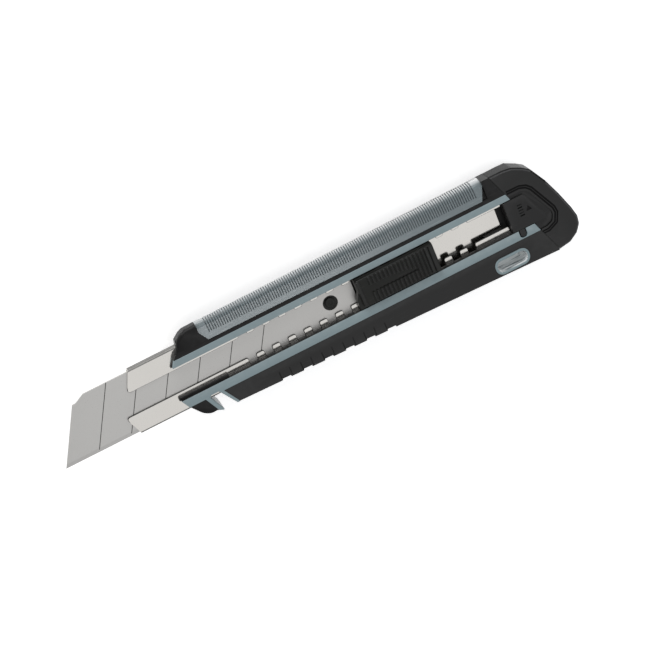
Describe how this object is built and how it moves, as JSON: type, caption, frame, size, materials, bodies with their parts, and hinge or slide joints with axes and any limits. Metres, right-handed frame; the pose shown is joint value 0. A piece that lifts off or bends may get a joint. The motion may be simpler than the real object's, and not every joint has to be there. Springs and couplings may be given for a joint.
{
  "type": "snap-off utility knife",
  "caption": "Large snap-off utility knife: slanted handle with a steel rail, sliding scored blade, thumb slider, ruler edge, cord notch, lanyard eyelet and pull-out rear plug.",
  "frame": {"origin": "middle of the whole knife's footprint on its flat back", "axes": "+X from the blade's tip to the rear cap, +Y towards the ruler, +Z out of the side that carries the slider"},
  "size_m": [0.2238, 0.0414, 0.0194],
  "materials": {
    "core_black": "fine moulded grain",
    "shell_plastic": "satin moulded",
    "soft_grip": "matte soft-touch",
    "soft_pad": "matte ribbed",
    "slider_black": "satin moulded",
    "blue_grey": "satin moulded",
    "plug_black": "satin moulded",
    "scale_print": "satin moulded",
    "clear_cover": "smooth",
    "blade_steel": "matte ground",
    "rail_steel": "bright rolled",
    "spring_steel": "bright",
    "screw_steel": "bright"
  },
  "bodies": {
    "handle": {"core_frame": "core_black", "back_shell": "shell_plastic", "back_grip": "soft_grip", "upper_bezel": "blue_grey", "lower_bezel": "blue_grey", "nose_grip": "soft_grip", "hook_grip": "soft_grip", "lower_grip": "soft_grip", "ruler_scale": "scale_print", "ruler_cover": "clear_cover", "lanyard_eyelet": "blue_grey", "casing_screws": "screw_steel", "rail": "rail_steel", "rail_rivets": "screw_steel"},
    "slider": {"blade": "blade_steel", "blade_carrier": "slider_black", "carrier_pin": "slider_black", "slider_body": "slider_black", "slider_rivets": "screw_steel", "thumb_pad": "soft_pad", "detent_spring": "spring_steel"},
    "end_cap": {"end_cap": "soft_grip", "end_plug": "plug_black", "plug_latch": "plug_black"}
  },
  "joints": [
    {"name": "blade_slide", "type": "slide", "parent": "handle", "child": "slider", "axis": [1, 0, 0], "range_m": [-0.0414, 0.031], "deforming": ["detent_spring"]},
    {"name": "end_cap_pull", "type": "slide", "parent": "handle", "child": "end_cap", "axis": [1, 0, 0], "range_m": [0, 0.012], "deforming": ["plug_latch"]}
  ]
}
